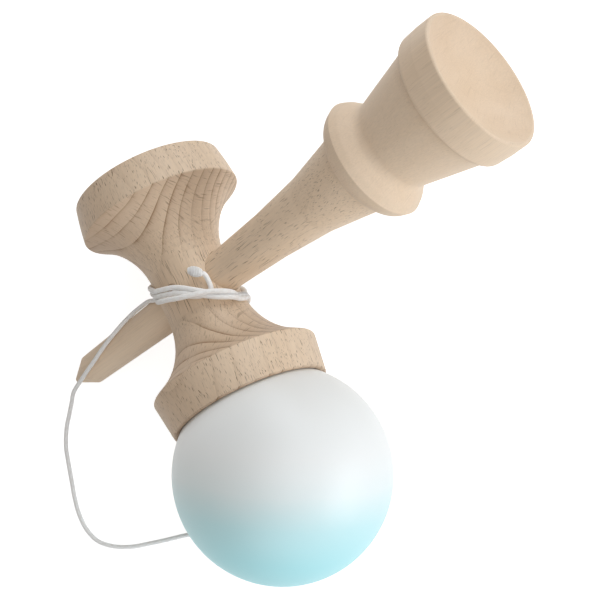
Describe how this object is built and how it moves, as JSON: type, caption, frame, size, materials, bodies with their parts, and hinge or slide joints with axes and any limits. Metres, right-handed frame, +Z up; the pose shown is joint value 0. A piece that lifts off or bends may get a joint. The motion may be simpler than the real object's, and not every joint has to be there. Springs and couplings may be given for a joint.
{
  "type": "cup and ball toy",
  "caption": "Wooden cup and ball toy: turned handle with spike and base cup, crossbar with a cup at each end, and a lacquered ball on a cord wound round the crossbar.",
  "frame": {"origin": "on the table, under the middle of the toy's box without its cord", "axes": "+Z up from the table; +X along the table under the handle, from the spike towards the base cup; the ball is on the -Y side"},
  "size_m": [0.1667, 0.1249, 0.0935],
  "materials": {
    "handle_beech": "plain beech, sanded, no varnish",
    "crossbar_beech": "plain beech, sanded, no varnish",
    "ball_lacquer": "satin lacquer on wood, shaded from white to pale turquoise",
    "bead_wood": "plain wood",
    "cord": "white braided cord"
  },
  "bodies": {
    "toy": {"handle": "handle_beech", "crossbar": "crossbar_beech", "cord_wrap": "cord", "cord_lock": "cord", "cord_tail": "cord", "tail_knot": "cord", "cord_loop": "cord"},
    "cord_end": {"cord_in_ball": "cord", "bead_knot": "cord", "swivel_bead": "bead_wood"},
    "ball": {"ball": "ball_lacquer"}
  },
  "joints": [
    {"name": "ball_lift", "type": "slide", "parent": "toy", "child": "cord_end", "axis": [-0.0441, -0.9957, 0.0817], "range_m": [0, 0.055], "deforming": ["cord_loop"]},
    {"name": "ball_spin", "type": "hinge", "parent": "cord_end", "child": "ball", "pos_m": [-0.03122, -0.03248, 0.03], "axis": [0.0661, 0.9473, 0.3135], "continuous": true}
  ]
}
